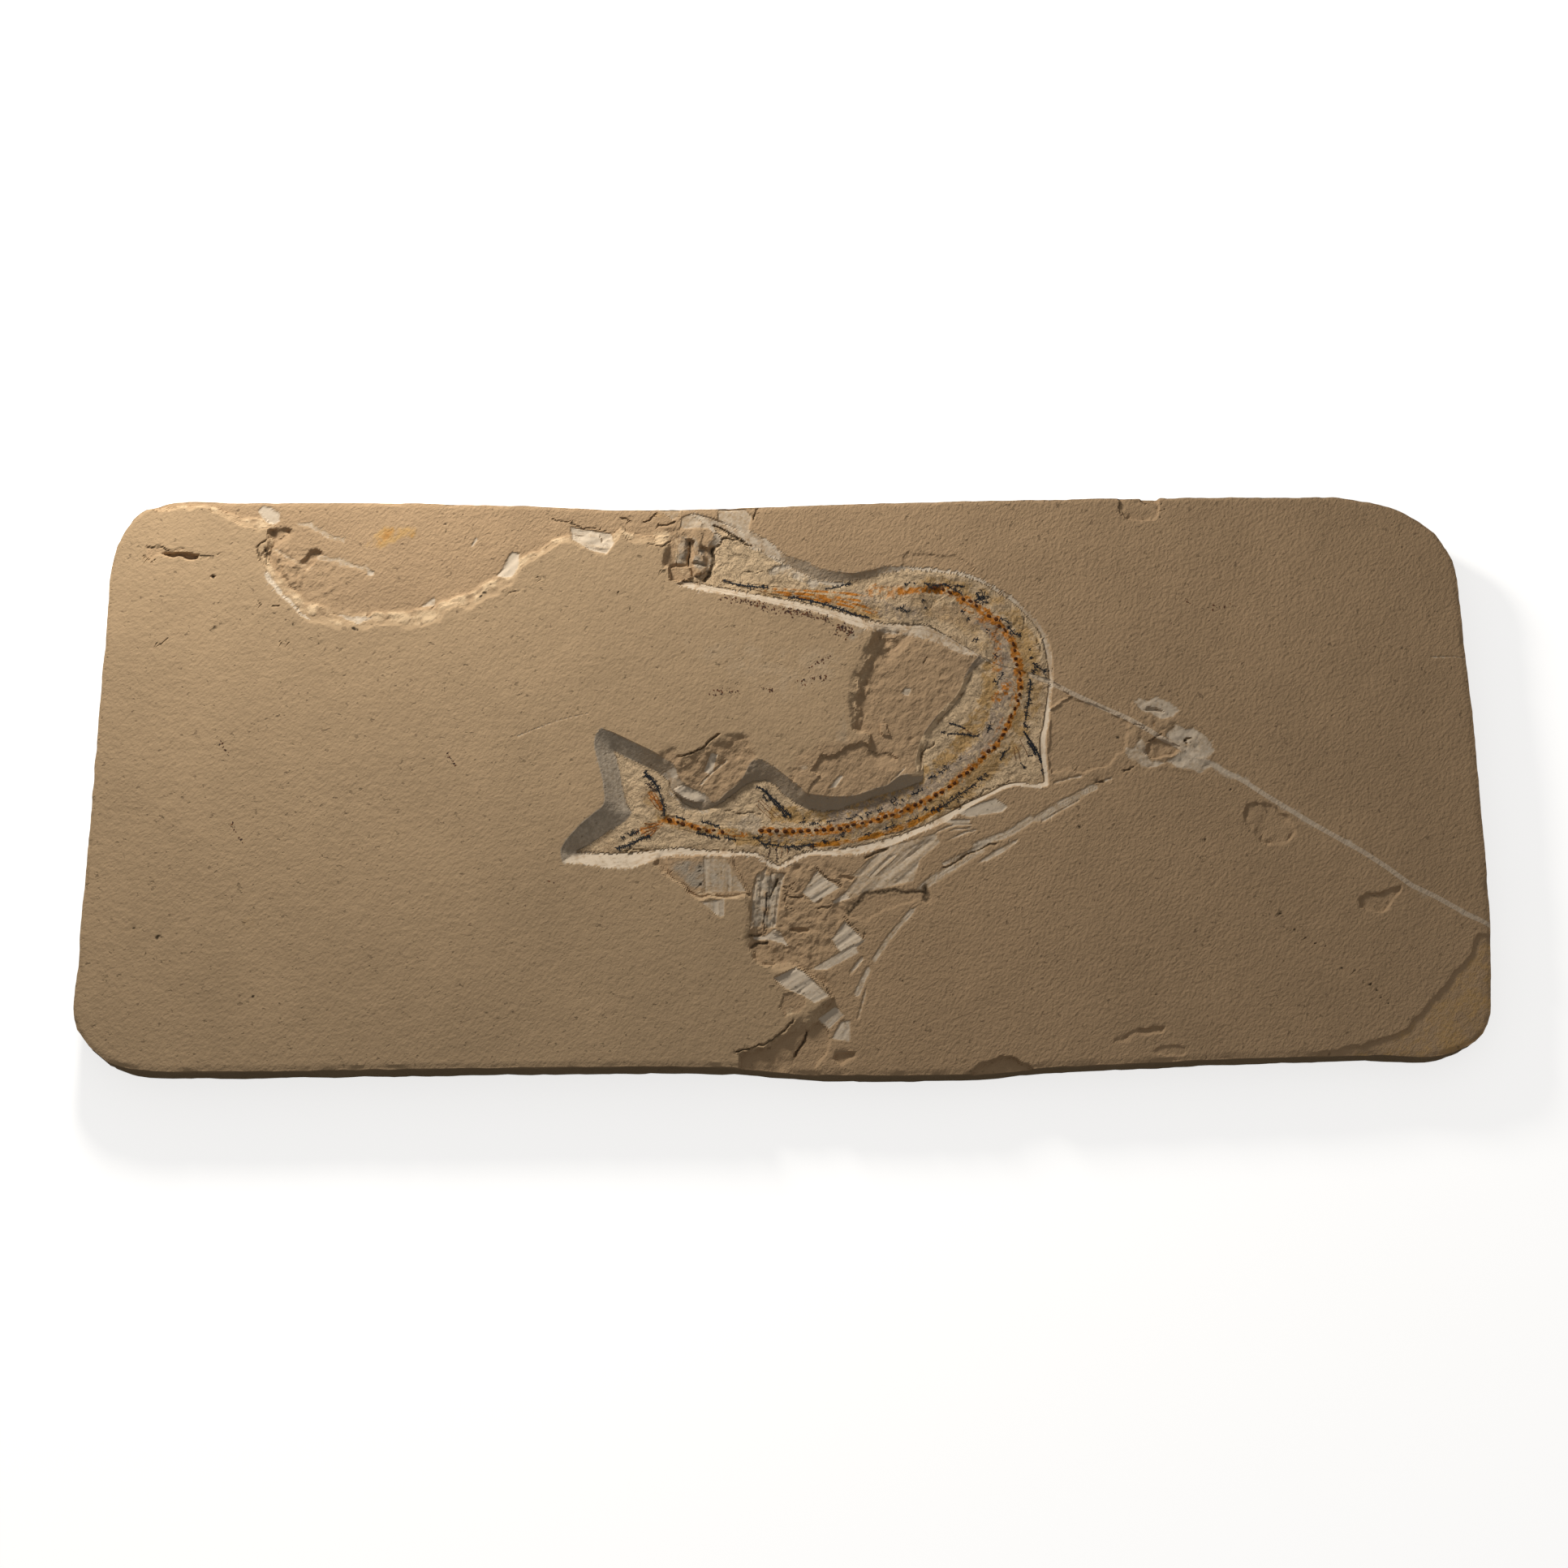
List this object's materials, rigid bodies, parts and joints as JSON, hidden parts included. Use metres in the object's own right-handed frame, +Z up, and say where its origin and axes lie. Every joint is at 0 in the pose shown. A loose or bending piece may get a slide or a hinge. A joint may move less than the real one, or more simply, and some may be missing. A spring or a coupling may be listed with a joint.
{
  "type": "fossil fish",
  "caption": "Limestone slab with a needle-snouted fossil fish curled in a carved recess, lying flat, mended along a break; a display specimen.",
  "frame": {"origin": "middle of the slab's outline, on the flat underside it lies on", "axes": "+X along the slab's long side, from the fish's tail side towards its bend; +Z up out of the face that shows the fish; +Y towards the edge nearer the fish's snout"},
  "size_m": [0.6048, 0.2638, 0.018],
  "materials": {
    "limestone": "matt buff limestone, smooth on the upper bed and grainy on the lower one",
    "mortar": "dull grey mortar",
    "fossil_bone": "orange-brown mineral bone, slightly glossy",
    "fossil_scales": "matt grey film with ochre and black marks",
    "fin_rays": "dark mineral rays, matt"
  },
  "bodies": {
    "root": {"slab_main": "limestone", "slab_upper_right": "limestone", "break_mortar": "mortar", "skull_and_jaws": "fossil_bone", "backbone": "fossil_bone", "flank_scales": "fossil_scales", "tail_fin": "fin_rays", "dorsal_fin": "fin_rays", "anal_fin": "fin_rays", "pelvic_fin_inner": "fin_rays", "pelvic_fin_outer": "fin_rays"}
  },
  "joints": []
}
